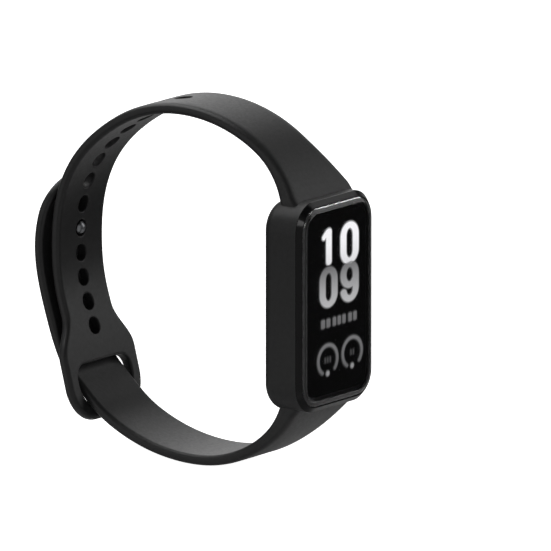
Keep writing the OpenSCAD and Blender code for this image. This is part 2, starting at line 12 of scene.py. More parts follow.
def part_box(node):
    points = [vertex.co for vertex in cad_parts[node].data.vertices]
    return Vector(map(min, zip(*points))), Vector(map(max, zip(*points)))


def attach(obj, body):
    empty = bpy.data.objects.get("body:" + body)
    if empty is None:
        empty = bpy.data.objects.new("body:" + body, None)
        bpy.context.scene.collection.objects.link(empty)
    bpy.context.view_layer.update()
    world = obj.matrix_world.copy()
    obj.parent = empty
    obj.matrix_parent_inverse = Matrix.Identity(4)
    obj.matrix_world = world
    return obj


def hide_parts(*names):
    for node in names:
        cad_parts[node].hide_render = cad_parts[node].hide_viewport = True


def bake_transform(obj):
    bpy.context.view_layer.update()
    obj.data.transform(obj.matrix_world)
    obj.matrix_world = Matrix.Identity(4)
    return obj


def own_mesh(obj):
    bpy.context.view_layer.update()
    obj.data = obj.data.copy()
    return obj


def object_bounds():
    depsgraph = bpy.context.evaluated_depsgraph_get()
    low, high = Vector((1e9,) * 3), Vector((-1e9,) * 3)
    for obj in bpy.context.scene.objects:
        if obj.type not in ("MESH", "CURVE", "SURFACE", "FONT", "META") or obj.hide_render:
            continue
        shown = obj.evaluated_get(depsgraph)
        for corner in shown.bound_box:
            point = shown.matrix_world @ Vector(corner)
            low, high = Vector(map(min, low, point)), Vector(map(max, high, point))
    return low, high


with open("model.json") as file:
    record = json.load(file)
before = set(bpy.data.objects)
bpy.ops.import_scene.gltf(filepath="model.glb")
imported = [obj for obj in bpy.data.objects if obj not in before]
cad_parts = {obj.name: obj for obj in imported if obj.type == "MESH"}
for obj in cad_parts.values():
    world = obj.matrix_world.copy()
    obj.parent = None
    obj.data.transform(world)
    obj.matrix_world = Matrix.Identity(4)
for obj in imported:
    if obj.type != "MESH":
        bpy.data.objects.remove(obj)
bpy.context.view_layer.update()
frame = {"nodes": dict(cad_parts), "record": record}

MM = 0.001
HALF_DEPTH = 5.0                             # half the tracker's thickness, mm
case_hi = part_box("case_body")[1]
TRACK_Y = (case_hi.y - HALF_DEPTH * MM) / MM  # the tracker's middle, mm along Y
HALF_W, HALF_H = case_hi.x / MM, case_hi.z / MM


# ---------------------------------------------------------------- materials
MOTTLE = (0.35, 0.65)                        # noise levels of the two colours
UNEVEN = (0.3, 0.7)                          # noise levels of the two roughnesses


def mat(name, base, rough, metallic=0.0, specular=0.5, coat=0.0, coat_rough=0.1,
        ior=1.5, transmission=0.0, tint=0.25, tint_scale=350.0, rough_var=0.06,
        rough_scale=900.0, bump=0.1, bump_scale=6000.0, bump_depth=0.00002,
        emission=None, emission_power=0.0, sheen=0.0, stretch=(1, 1, 1)):
    """A procedural surface: mottled colour, uneven roughness and a fine grain."""
    m = bpy.data.materials.new(name)
    m.use_nodes = True
    nt = m.node_tree
    n, link = nt.nodes, nt.links.new
    p = n["Principled BSDF"]
    p.inputs["Metallic"].default_value = metallic
    p.inputs["IOR"].default_value = ior
    p.inputs["Specular IOR Level"].default_value = specular
    p.inputs["Coat Weight"].default_value = coat
    p.inputs["Coat Roughness"].default_value = coat_rough
    p.inputs["Transmission Weight"].default_value = transmission
    p.inputs["Sheen Weight"].default_value = sheen
    where = n.new("ShaderNodeTexCoord")
    mapping = n.new("ShaderNodeMapping")
    mapping.inputs["Scale"].default_value = stretch
    link(where.outputs["Object"], mapping.inputs["Vector"])

    def noise(scale, detail):
        t = n.new("ShaderNodeTexNoise")
        t.inputs["Scale"].default_value = scale
        t.inputs["Detail"].default_value = detail
        link(mapping.outputs["Vector"], t.inputs["Vector"])
        return t.outputs["Fac"]

    ramp = n.new("ShaderNodeValToRGB")
    low = [c * (1 - tint) for c in base]
    high = [min(1.0, c * (1 + tint)) for c in base]
    ramp.color_ramp.elements[0].position = MOTTLE[0]
    ramp.color_ramp.elements[1].position = MOTTLE[1]
    ramp.color_ramp.elements[0].color = (*low, 1)
    ramp.color_ramp.elements[1].color = (*high, 1)
    link(noise(tint_scale, 3.0), ramp.inputs["Fac"])
    link(ramp.outputs["Color"], p.inputs["Base Color"])
    spread = n.new("ShaderNodeMapRange")
    spread.inputs["From Min"].default_value = UNEVEN[0]
    spread.inputs["From Max"].default_value = UNEVEN[1]
    spread.inputs["To Min"].default_value = max(0.0, rough - rough_var)
    spread.inputs["To Max"].default_value = min(1.0, rough + rough_var)
    link(noise(rough_scale, 2.0), spread.inputs["Value"])
    link(spread.outputs["Result"], p.inputs["Roughness"])
    if bump:
        b = n.new("ShaderNodeBump")
        b.inputs["Strength"].default_value = bump
        b.inputs["Distance"].default_value = bump_depth
        link(noise(bump_scale, 3.0), b.inputs["Height"])
        link(b.outputs["Normal"], p.inputs["Normal"])
    if emission:
        p.inputs["Emission Color"].default_value = (*emission, 1)
        p.inputs["Emission Strength"].default_value = emission_power
    return m


SILICONE = mat("strap_silicone", (0.013, 0.013, 0.0134), 0.43, specular=0.42,
               tint=0.08, tint_scale=900, bump=0.3, bump_scale=7000, rough_var=0.04,
               rough_scale=1500, sheen=0.04)
CASE = mat("case_plastic", (0.016, 0.016, 0.0165), 0.5, specular=0.38,
           tint=0.08, tint_scale=900, bump=0.25, bump_scale=9000, rough_var=0.03,
           rough_scale=1500)
BEZEL = mat("gloss_bezel", (0.005, 0.005, 0.0053), 0.12, specular=0.18, coat=0.0,
            coat_rough=0.06, tint=0.1, bump=0.04, rough_var=0.03)
GLASS = mat("cover_glass", (0.9, 0.9, 0.92), 0.012, transmission=1.0, ior=1.5,
            tint=0.01, bump=0.0, rough_var=0.004)
LENS = mat("sensor_lens", (0.35, 0.35, 0.38), 0.03, transmission=0.9, tint=0.05,
           bump=0.02, rough_var=0.01)
PANEL = mat("display_black", (0.002, 0.002, 0.0024), 0.6, specular=0.0, tint=0.1,
            bump=0.02)
TRAY = mat("white_tray", (0.75, 0.76, 0.77), 0.5, tint=0.04)
STEEL = mat("sheet_steel", (0.52, 0.53, 0.54), 0.34, metallic=1.0, tint=0.1,
            bump=0.25, bump_scale=2500, stretch=(1, 1, 14))
AMBER = mat("amber_film", (0.42, 0.16, 0.02), 0.35, tint=0.15)
FOIL = mat("battery_foil", (0.5, 0.52, 0.54), 0.38, metallic=0.9, tint=0.08,
           bump=0.4, bump_scale=1500)
FOAM = mat("foam", (0.02, 0.02, 0.02), 0.85, tint=0.3, bump=0.8, bump_scale=5000)
LEAD = mat("lead_red", (0.35, 0.02, 0.015), 0.4, tint=0.1)
BOARD = mat("board_green", (0.01, 0.07, 0.03), 0.35, coat=0.3, tint=0.35,
            tint_scale=1500, bump=0.3, bump_scale=2600)
CHIP = mat("chip_black", (0.02, 0.02, 0.02), 0.5, tint=0.2, bump=0.3)
SOCKET = mat("socket_cream", (0.6, 0.56, 0.42), 0.5, tint=0.08)
GOLD = mat("gold_plate", (0.78, 0.53, 0.2), 0.24, metallic=1.0, tint=0.08,
           bump=0.15, bump_scale=4000)
MAGNET = mat("magnet", (0.45, 0.45, 0.47), 0.25, metallic=1.0, tint=0.06)
ROTOR = mat("rotor_metal", (0.3, 0.27, 0.22), 0.4, metallic=1.0, tint=0.15)
LED = mat("led_clear", (0.6, 0.85, 0.6), 0.15, tint=0.1)
STUD = mat("stud_metal", (0.24, 0.245, 0.255), 0.34, metallic=1.0, tint=0.08,
           bump=0.2, bump_scale=5000)
SPRING = mat("spring_steel", (0.6, 0.6, 0.62), 0.22, metallic=1.0, tint=0.08)
CLEAR = mat("clear_adhesive", (0.85, 0.87, 0.9), 0.2, tint=0.03)

LOOK = {"cover_glass": GLASS, "gloss_bezel": BEZEL, "case_plastic": CASE,
        "strap_silicone": SILICONE, "clear_adhesive": CLEAR,
        "display_black": PANEL, "white_tray": TRAY, "sheet_steel": STEEL,
        "amber_film": AMBER, "battery_foil": FOIL, "foam": FOAM, "lead_red": LEAD,
        "board_green": BOARD, "chip_black": CHIP, "socket_cream": SOCKET,
        "gold_plate": GOLD, "magnet": MAGNET, "rotor_metal": ROTOR,
        "led_clear": LED, "sensor_lens": LENS, "stud_metal": STUD,
        "spring_steel": SPRING}
for part in frame["record"]["subparts"]:
    o = frame["nodes"].get(part["node"])
    if o is None:
        continue
    o.data.materials.clear()
    o.data.materials.append(LOOK[part["material_slot"]])


# ------------------------------------------------------------- mesh helpers
def piece(name, verts, faces, body, material, slot, smooth=True, replaces=(),
          auto=None):
    """A closed mesh piece from points in millimetres, in the row frame."""
    me = bpy.data.meshes.new(name)
    me.from_pydata((np.asarray(verts, float) * MM).tolist(), [], faces)
    bm = bmesh.new()
    bm.from_mesh(me)
    bmesh.ops.remove_doubles(bm, verts=bm.verts, dist=1e-7)
    bmesh.ops.recalc_face_normals(bm, faces=bm.faces)
    bm.to_mesh(me)
    bm.free()
    for poly in me.polygons:
        poly.use_smooth = smooth
    o = bpy.data.objects.new(name, me)
    bpy.context.scene.collection.objects.link(o)
    me.materials.append(material)
    if auto is not None:
        me.set_sharp_from_angle(angle=math.radians(auto))
    if body:
        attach(o, body)
    if replaces:
        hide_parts(*replaces)
    return o


# --------------------------------------------------------------- strap path
def sind(a):
    return math.sin(math.radians(a))


def cosd(a):
    return math.cos(math.radians(a))


PATH_STEP = 0.05                             # mm between the path's points


class Path:
    """A chain of arcs in the Y-Z plane, in mm from the tracker's middle.

    side -1 turns clockwise (upper strap), +1 anticlockwise (lower strap).
    Each step is (radius, end heading), or (None, length) for a straight. ease is
    the width over which the bends blend. Each swell is (middle, reach, height) of
    an outward bump.
    """

    def __init__(self, p, h, side, steps, lead=2.0, ease=1.6, swell=()):
        ds = PATH_STEP
        first = steps[0][0]
        run, head = [], []
        s = -lead
        h_now = h - side * math.degrees(lead / first)
        for r, v in steps:
            if r is None:
                k, length = 0.0, v
            else:
                length = abs(v - h_now) * math.pi / 180 * r
                k = side * math.degrees(1 / r)
            count = max(1, int(round(length / ds)))
            for i in range(count):
                run.append(s + length * i / count)
                head.append(h_now + k * length * i / count)
            s += length
            h_now += k * length
        run.append(s)
        head.append(h_now)
        s_even = np.arange(-lead, s + ds / 2, ds)
        h_even = np.interp(s_even, run, head)
        if ease:
            half = int(3 * ease / ds)
            w = np.exp(-0.5 * (np.arange(-half, half + 1) * ds / ease) ** 2)
            w /= w.sum()
            first_k = (h_even[1] - h_even[0])
            last_k = (h_even[-1] - h_even[-2])
            pad_a = h_even[0] - first_k * np.arange(half, 0, -1)
            pad_b = h_even[-1] + last_k * np.arange(1, half + 1)
            h_even = np.convolve(np.r_[pad_a, h_even, pad_b], w, "valid")
        rad = np.radians(h_even)
        step = np.c_[np.cos(rad), np.sin(rad)] * ds
        mid = (step[1:] + step[:-1]) / 2
        pts = np.vstack([[0, 0], np.cumsum(mid, axis=0)])
        at0 = np.array([np.interp(0, s_even, pts[:, 0]),
                        np.interp(0, s_even, pts[:, 1])])
        self.s, self.h = s_even, h_even
        self.p = pts - at0 + np.array(p)
        self.side, self.end = side, s
        out = np.stack([-np.sin(rad), np.cos(rad)], -1) * (1 if side < 0 else -1)
        for mid_s, reach, height in swell:
            u = np.clip((self.s - mid_s) / reach, -1, 1)
            self.p = self.p + out * (height * (1 + np.cos(np.pi * u)) / 2)[:, None]
        turned = np.gradient(self.p, axis=0)
        self.h = np.degrees(np.unwrap(np.arctan2(turned[:, 1], turned[:, 0])))

    def at(self, s):
        """Points, and outward normals, at distances s."""
        s = np.asarray(s, float)
        y = np.interp(s, self.s, self.p[:, 0])
        z = np.interp(s, self.s, self.p[:, 1])
        h = np.radians(np.interp(s, self.s, self.h))
        n = np.stack([-np.sin(h), np.cos(h)], -1)
        if self.side > 0:
            n = -n
        return np.stack([y, z], -1), n

    def place(self, s, x, h):
        """(s along, x across, h above the inner face) to row coordinates, mm."""
        p, n = self.at(s)
        q = p + n * np.asarray(h, float)[..., None]
        return np.stack([np.asarray(x, float), q[..., 0] + TRACK_Y, q[..., 1]], -1)


# Headings in degrees and radii in mm at the roots of the upper and lower strap
UP_HEAD, UP_ROOT_R, UP_ROOT_HEAD = 64.2, 25.91, 28.8
LO_HEAD, LO_ROOT_R, LO_JOIN_HEAD = 61.6, 25.11, 25.1
STRAIGHT = 24.4                              # the upper strap's straight end
UP = Path((2.0, 20.0), UP_HEAD, -1,
          [(UP_ROOT_R, UP_ROOT_HEAD), (33.05, -0.6), (28.16, -64), (35.13, -107.5),
           (None, STRAIGHT)],
          swell=((65.0, 17.0, 0.75), (117.0, 20.0, 0.8)))
UP_S4 = UP.end - STRAIGHT                    # where the straight end starts
LO = Path((2.27, -20.0), -LO_HEAD, 1,
          [(LO_ROOT_R, -0.8), (40.0, 30), (20.0, 44), (None, 8.2), (6.0, 64),
           (52.0, 88), (34.0, 114.7)], swell=((87.0, 16.0, 0.85),))
STRAP_T = 2.2                                # thickness
LOOP_END = UP_S4 + 23.8
LOOP_CORNER, LOOP_WIDER = 7.2, 4.25          # corner radius; extra half width
SLOT = (12.4, 21.0, 9.2)                     # start and end past UP_S4, half width
SLOT_NEAR_R, SLOT_FAR_R = 3, 4.8             # corner radii at its two ends
R_OUT, R_IN = 2.0, 0.8                       # rounding of the strap's edges
# The outer edge's crown: from what rounding, how boxy, and its drop per mm
CROWN_FROM, CROWN_POWER, CROWN_DROP = 1.5, 0.76, 0.5
ROOT_S, ROOT_R = -1.3, 2.5                   # where the strap starts, in the case
HOLE_S = [36.3 + 5 * i for i in range(13)]   # the size holes, along the path
HOLE_R = 1.75
UP_OUT_R, LO_OUT_R = 39.06, 39.1             # outer arcs where the strap thickens


def arc_centre(path, s, h, r):
    p, n = path.at(s)
    return p + n * h - n * r


UP_JOIN = UP_ROOT_R * math.radians(UP_HEAD - UP_ROOT_HEAD)
LO_JOIN = LO_ROOT_R * math.radians(LO_HEAD - LO_JOIN_HEAD)
UP_OUT_C = arc_centre(UP, UP_JOIN, STRAP_T, UP_OUT_R)
LO_OUT_C = arc_centre(LO, LO_JOIN, STRAP_T, LO_OUT_R)


def thickness(path, centre, radius, join):
    """Strap thickness: a flatter outer arc at the root, then constant."""
    def t(s):
        s = np.asarray(s, float)
        p, n = path.at(s)
        d = p - centre
        b = (d * n).sum(-1)
        h = -b + np.sqrt(np.maximum(0, b * b - (d * d).sum(-1) + radius ** 2))
        return np.where(s < join, np.maximum(h, STRAP_T), STRAP_T)
    return t


UP_T = thickness(UP, UP_OUT_C, UP_OUT_R, UP_JOIN)
LO_T = thickness(LO, LO_OUT_C, LO_OUT_R, LO_JOIN)


# ---------------------------------------------------- planform to strap mesh
def resample(pts, step):
    """A closed outline resampled evenly."""
    ring = np.vstack([pts, pts[:1]])
    d = np.diff(ring, axis=0)
    seg = np.hypot(d[:, 0], d[:, 1])
    total = seg.sum()
    count = max(12, int(round(total / step)))
    at = np.r_[0, np.cumsum(seg)]
    u = np.arange(count) * total / count
    return np.c_[np.interp(u, at, ring[:, 0]), np.interp(u, at, ring[:, 1])]


def offset(pts, d):
    """The outline moved to its left by d."""
    t = np.roll(pts, -1, 0) - np.roll(pts, 1, 0)
    t /= np.linalg.norm(t, axis=1)[:, None]
    return pts + np.c_[-t[:, 1], t[:, 0]] * d


def inside(poly, pts):
    x, y = pts[:, 0], pts[:, 1]
    hit = np.zeros(len(pts), bool)
    a, b = poly, np.roll(poly, -1, 0)
    for (x0, y0), (x1, y1) in zip(a, b):
        if y0 == y1:
            continue
        cross = (y0 > y) != (y1 > y)
        hit ^= cross & (x < (x1 - x0) * (y - y0) / (y1 - y0) + x0)
    return hit


def round_profile(r, n, depth):
    """(distance in from the edge, drop below the face) down a quarter round.

    A wide one is a low crown that ends in a tighter corner."""
    out = []
    power = CROWN_POWER if r > CROWN_FROM else 1.0
    for i in range(n + 1):
        a = math.pi / 2 * i / n
        out.append((r * (1 - max(0.0, math.cos(a)) ** power),
                    depth * (1 - math.sin(a) ** power)))
    return out


def sheet_mesh(rings, grid_s, grid_x):
    """Triangulates one face of the strap.

    rings: [(outline, is_hole, rounding, steps, depth)], the outer one first."""
    pts, drop, edges, first = [], [], [], []
    for outline, hole, r, n, depth in rings:
        side = -1 if hole else 1
        prof = round_profile(r, n, depth) + [(r + 0.12 + 0.1 * r, 0.0)]
        for k, (d, dz) in enumerate(prof):
            ring = offset(outline, side * d) if d > 1e-9 else outline
            base = len(pts)
            if k == 0:
                first.append((base, len(ring)))
            pts.extend(ring.tolist())
            drop.extend([dz] * len(ring))
            edges.extend((base + i, base + (i + 1) % len(ring))
                         for i in range(len(ring)))
    ring_pts = np.array(pts)
    outer = rings[0][0]
    gs, gx = np.meshgrid(grid_s, grid_x, indexing="ij")
    cand = np.c_[gs.ravel(), gx.ravel()]
    ok = inside(offset(outer, rings[0][2] + 0.5), cand)
    for outline, hole, r, n, depth in rings[1:]:
        ok &= ~inside(offset(outline, -(r + 0.55)), cand)
    cand = cand[ok]
    near = np.array([np.min(np.abs(ring_pts[:, 0] - c[0])
                            + np.abs(ring_pts[:, 1] - c[1]))
                     for c in cand]) if len(cand) else np.zeros(0)
    cand = cand[near > 0.4]
    pts.extend(cand.tolist())
    drop.extend([0.0] * len(cand))
    out_v, _, out_f, orig, _, _ = delaunay_2d_cdt(
        [Vector(p) for p in pts], edges, [], 0, 1e-6)
    xy = np.array([tuple(v) for v in out_v])
    dz = np.array([drop[o[0]] if o else 0.0 for o in orig])
    index = {}
    for i, o in enumerate(orig):
        for src in o:
            index[src] = i
    faces = np.array(out_f)
    mid = xy[faces].mean(1)
    keep = inside(outer, mid)
    for outline, hole, r, n, depth in rings[1:]:
        keep &= ~inside(outline, mid)
    faces = faces[keep]
    rims = [[index[b + i] for i in range(c)] for b, c in first]
    return xy, dz, faces, rims


def strap_mesh(path, t_of, outline, holes, grid_s, grid_x, r_out, r_in, hole_r=0.22,
               slot_r=0.4, walls=3):
    """(points, faces) of a strap: two faces, rounded edges and its walls."""
    outs = [(outline, False, r_out, 10, CROWN_DROP * r_out)]
    ins = [(outline, False, r_in, 5, r_in)]
    for h, kind in holes:
        r = hole_r if kind == "hole" else slot_r
        outs.append((h, True, r, 3, r))
        ins.append((h, True, r, 3, r))
    axy, adz, af, arims = sheet_mesh(outs, grid_s, grid_x)
    bxy, bdz, bf, brims = sheet_mesh(ins, grid_s, grid_x)
    top = t_of(axy[:, 0]) - adz
    va = path.place(axy[:, 0], axy[:, 1], top)
    vb = path.place(bxy[:, 0], bxy[:, 1], bdz)
    verts = list(map(tuple, va)) + list(map(tuple, vb))
    faces = [tuple(f) for f in af.tolist()]
    nb = len(va)
    faces += [tuple(nb + i for i in reversed(f)) for f in bf.tolist()]
    for ra, rb in zip(arims, brims):
        level = [[nb + i for i in rb]]
        sx = axy[ra]
        lo_h, hi_h = bdz[rb], top[ra]
        for k in range(1, walls):
            h = lo_h + (hi_h - lo_h) * k / walls
            pts = path.place(sx[:, 0], sx[:, 1], h)
            base = len(verts)
            verts += list(map(tuple, pts))
            level.append(list(range(base, base + len(pts))))
        level.append(list(ra))
        for a, b in zip(level, level[1:]):
            c = len(a)
            for i in range(c):
                j = (i + 1) % c
                faces.append((a[i], a[j], b[j], b[i]))
    return np.array(verts), faces


def arc2(cx, cy, r, a0, a1, n):
    a = np.radians(np.linspace(a0, a1, n))
    return np.c_[cx + r * np.cos(a), cy + r * np.sin(a)]


def smooth01(u):
    u = np.clip(u, 0, 1)
    return u * u * (3 - 2 * u)


UP_HALF, LO_HALF = 7.9, 8.2                  # half widths of the two straps
FLARE_HALF, FLARE_MOST, FLARE_LONG = 10.3, 10.35, 11.5
OUTLINE_STEP, SIDE_STEP, GRID_S, GRID_X = 0.55, 0.4, 0.8, 0.9  # mesh spacing


def strap_half(s, half):
    """Half width of a strap: a concave flare out to the case's width at the root."""
    u = np.clip(1 - (s - 1.0) / FLARE_LONG, 0, 1.25)
    return np.minimum(half + (FLARE_HALF - half) * u ** 1.8, FLARE_MOST)


def strap_outline(half_of, last_s, end_arcs):
    """A strap's outline in (s, x): rounded root, sides up to last_s, then the end."""
    side_s = np.arange(ROOT_S, last_s + 1e-6, SIDE_STEP)
    right = np.c_[side_s, half_of(side_s)]
    w0 = float(half_of(np.array([ROOT_S]))[0])
    pts = np.vstack([
        right[::-1] * [1, -1],
        arc2(ROOT_S, -w0 + ROOT_R, ROOT_R, 270, 180, 8)[1:],
        arc2(ROOT_S, w0 - ROOT_R, ROOT_R, 180, 90, 8)[:-1],
        right,
        *end_arcs,
    ])[::-1]
    return resample(pts, OUTLINE_STEP)


# Upper strap: holes, then the loop with its slot
def up_half(s):
    return strap_half(s, UP_HALF) + LOOP_WIDER * smooth01((s - UP_S4 - 2.0) / 9.0)


bend_s = LOOP_END - LOOP_CORNER
bend_x = float(up_half(np.array([bend_s]))[0]) - LOOP_CORNER
outline_up = strap_outline(up_half, bend_s, [
    arc2(bend_s, bend_x, LOOP_CORNER, 90, 0, 20)[1:],
    arc2(bend_s, -bend_x, LOOP_CORNER, 0, -90, 20)[:-1]])
slot0, slot1, slot_w = UP_S4 + SLOT[0], UP_S4 + SLOT[1], SLOT[2]
slot_up = np.vstack([
    arc2(slot0 + SLOT_NEAR_R, -slot_w + SLOT_NEAR_R, SLOT_NEAR_R, 180, 270, 10),
    arc2(slot1 - SLOT_FAR_R, -slot_w + SLOT_FAR_R, SLOT_FAR_R, 270, 360, 12),
    arc2(slot1 - SLOT_FAR_R, slot_w - SLOT_FAR_R, SLOT_FAR_R, 0, 90, 12),
    arc2(slot0 + SLOT_NEAR_R, slot_w - SLOT_NEAR_R, SLOT_NEAR_R, 90, 180, 10)])
holes_up = [(resample(arc2(s, 0, HOLE_R, 0, 354, 60), 0.36), "hole") for s in HOLE_S]
holes_up.append((resample(slot_up, 0.5), "slot"))
v, f = strap_mesh(UP, UP_T, outline_up, holes_up,
                  np.arange(-1.5, LOOP_END, GRID_S), np.arange(-11.7, 11.8, GRID_X),
                  R_OUT, R_IN)
piece("strap_with_holes", v, f, "band", SILICONE, "strap_silicone",
              replaces=("hole_strap",), auto=60)


# Lower strap: plain, through the loop and up the outside as the tail
def lo_half(s):
    return strap_half(s, LO_HALF)


TAIL_END = LO.end - 0.1
outline_lo = strap_outline(lo_half, TAIL_END - LO_HALF, [
    arc2(TAIL_END - LO_HALF, 0, LO_HALF, 90, -90, 40)[1:-1]])
v, f = strap_mesh(LO, LO_T, outline_lo, [],
                  np.arange(-1.5, TAIL_END, GRID_S), np.arange(-9.9, 10, GRID_X),
                  R_OUT, R_IN)
lower = piece("strap_plain_with_tail", v, f, None, SILICONE, "strap_silicone",
              replaces=("plain_strap", "strap_tail"), auto=60)
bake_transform(lower)


# The stud's flat cap, set on the outside of the tail in line with the stud
STUD_S, CAP_R, CAP_TURNS = 76.3, 3.0, 48
stud_p, stud_n = UP.at(STUD_S)
along_s = np.arange(70.0, TAIL_END - 4.0, 0.05)
outer_p, outer_n = LO.at(along_s)
outer_p = outer_p + outer_n * STRAP_T
off_line = np.abs(np.cross(outer_p - stud_p, stud_n))
at = int(np.argmin(off_line))
cap_p, cap_n = outer_p[at], stud_n
cap_t = np.array([-cap_n[1], cap_n[0]])
cap_profile = [(1.6, 0.29), (2.4, 0.24), (2.75, 0.15), (2.93, 0.02), (CAP_R, -0.15),
               (CAP_R, -0.7)]                # (radius, height over the tail)
verts, faces = [], []
for r, h in cap_profile:
    for i in range(CAP_TURNS):
        a = 2 * math.pi * i / CAP_TURNS
        y, z = cap_p + cap_n * h + cap_t * (r * math.sin(a))
        verts.append((r * math.cos(a), y + TRACK_Y, z))
for k in range(len(cap_profile) - 1):
    for i in range(CAP_TURNS):
        j = (i + 1) % CAP_TURNS
        faces.append((k * CAP_TURNS + i, k * CAP_TURNS + j, (k + 1) * CAP_TURNS + j,
                      (k + 1) * CAP_TURNS + i))
faces.append(tuple(range(CAP_TURNS)))
faces.append(tuple(range(len(verts) - CAP_TURNS, len(verts))))
piece("stud_button", verts, faces, "tail", STUD, "stud_metal",
      replaces=("stud_cap",), auto=40)


# Coil springs over the release buttons
BUTTON_S, COIL_X, COIL_KEEP = 4.4, 1.6, 0.42
COIL_R, WIRE_R, COIL_LO, COIL_HI, TURNS = 0.6, 0.12, 1.36, 2.34, 3.0
COIL_STEPS, WIRE_SIDES = 72, 8


def coil_pair(name, path, replaced):
    """A button's two coils, each closed at both ends of its wire."""
    base, up = path.at(BUTTON_S)
    side_way = np.array([-up[1], up[0]])
    verts, faces = [], []
    steps, around = COIL_STEPS, WIRE_SIDES
    for mid_x in (-COIL_X, COIL_X):
        first = len(verts)
        for i in range(steps + 1):
            a = 2 * math.pi * TURNS * i / steps
            h0 = COIL_LO + (COIL_HI - COIL_LO) * i / steps
            for k in range(around):
                b = 2 * math.pi * k / around
                r = COIL_R + WIRE_R * math.cos(b)
                h = h0 + WIRE_R * math.sin(b)
                y, z = base + up * h + side_way * (r * math.sin(a))
                verts.append((mid_x + r * math.cos(a), y + TRACK_Y, z))
        for i in range(steps):
            for k in range(around):
                j = (k + 1) % around
                a0, b0 = first + i * around, first + (i + 1) * around
                faces.append((a0 + k, a0 + j, b0 + j, b0 + k))
        faces.append(tuple(first + k for k in range(around)))
        faces.append(tuple(first + steps * around + k
                           for k in reversed(range(around))))
    o = piece(name, verts, faces, "band", SPRING, "spring_steel",
              replaces=(replaced,))
    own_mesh(o)


coil_pair("upper_coils", UP, "upper_spring")
coil_pair("lower_coils", LO, "lower_spring")


# ------------------------------------------------------------------ tracker
CASE_CORNER = 6.0


def loop_points(d, y, n=14):
    """A ring round the tracker, d mm in from its outline at level y."""
    hw, hh, r = HALF_W - d, HALF_H - d, max(CASE_CORNER - d, 0.02)
    pts = []
    for cx, cz, a0 in ((1, 1, 0), (-1, 1, 90), (-1, -1, 180), (1, -1, 270)):
        for i in range(n + 1):
            a = math.radians(a0 + 90 * i / n)
            pts.append((cx * (hw - r) + r * math.cos(a), y + TRACK_Y,
                        cz * (hh - r) + r * math.sin(a)))
    return pts


def loft(name, profile, body, material, slot, caps=(False, False), closed=False,
         **kw):
    """Rings round the tracker's outline, one for each (inset, y)."""
    verts, faces = [], []
    for d, y in profile:
        verts += loop_points(d, y)
    c = len(verts) // len(profile)
    rows = len(profile)
    for k in range(rows if closed else rows - 1):
        a, b = k * c, ((k + 1) % rows) * c
        for i in range(c):
            j = (i + 1) % c
            faces.append((a + i, a + j, b + j, b + i))
    if caps[0]:
        faces.append(tuple(range(c)))
    if caps[1]:
        faces.append(tuple(range((rows - 1) * c, rows * c)))
    return piece(name, verts, faces, body, material, slot, **kw)


# Glass: a flat face with a wide elliptical edge, at levels from the middle
GLASS_IN = 1.15                              # its edge, in from the outline
GLASS_ROUND, GLASS_DROP, GLASS_RIM = 1.7, 0.85, -4.15
glass_profile = ([(GLASS_IN + 0.02, -4.08), (GLASS_IN, -4.11)]
                 + [(GLASS_IN + GLASS_ROUND * (1 - cosd(a)),
                     GLASS_RIM - GLASS_DROP * sind(a)) for a in range(0, 91, 6)]
                 + [(GLASS_IN + 2.2, -HALF_DEPTH), (GLASS_IN + 3.0, -HALF_DEPTH)])
glass = loft("screen_glass", glass_profile, "band", GLASS, "cover_glass",
             caps=(True, True), replaces=("cover_glass",), auto=30)

# Bezel: a sloped gloss ring with softened edges
bezel_profile = ([(0.0, -3.5), (0.0, -3.52), (0.03, -3.6)]
                 + [(0.92, -4.43), (0.98, -4.49), (1.05, -4.51)]
                 + [(1.085, -4.49), (1.09, -4.46), (1.09, -3.86), (2.2, -3.86),
                    (2.2, -3.5)])
bezel = loft("bezel", bezel_profile, "band", BEZEL, "gloss_bezel", closed=True,
             replaces=("bezel_ring",), auto=25)


# ------------------------------------------------------------------- screen
def ribbon(points, width, n_cap=8):
    """A flat stroke along an open or a closed line. width: (across X, across Z)."""
    pts = np.array(points, float)
    wide = np.array(width, float) / 2
    closed = np.allclose(pts[0], pts[-1])
    if closed:
        pts = pts[:-1]
        t = np.roll(pts, -1, 0) - np.roll(pts, 1, 0)
    else:
        t = np.gradient(pts, axis=0)
    t /= np.linalg.norm(t, axis=1)[:, None]
    turn = np.c_[-t[:, 1], t[:, 0]]
    nrm = turn * wide
    if closed:
        return pts + nrm, pts - nrm, True
    a0 = math.degrees(math.atan2(turn[-1, 1], turn[-1, 0]))
    cap1 = pts[-1] + arc2(0, 0, 1, a0, a0 - 180, n_cap) * wide
    a1 = math.degrees(math.atan2(-turn[0, 1], -turn[0, 0]))
    cap0 = pts[0] + arc2(0, 0, 1, a1, a1 - 180, n_cap) * wide
    edge = np.vstack([pts + nrm, cap1[1:-1], (pts - nrm)[::-1], cap0[1:-1]])
    return edge, None, False


UI_Y, UI_T, UI_LIFT = -3.965, 0.02, 0.03     # level, thickness, step between layers


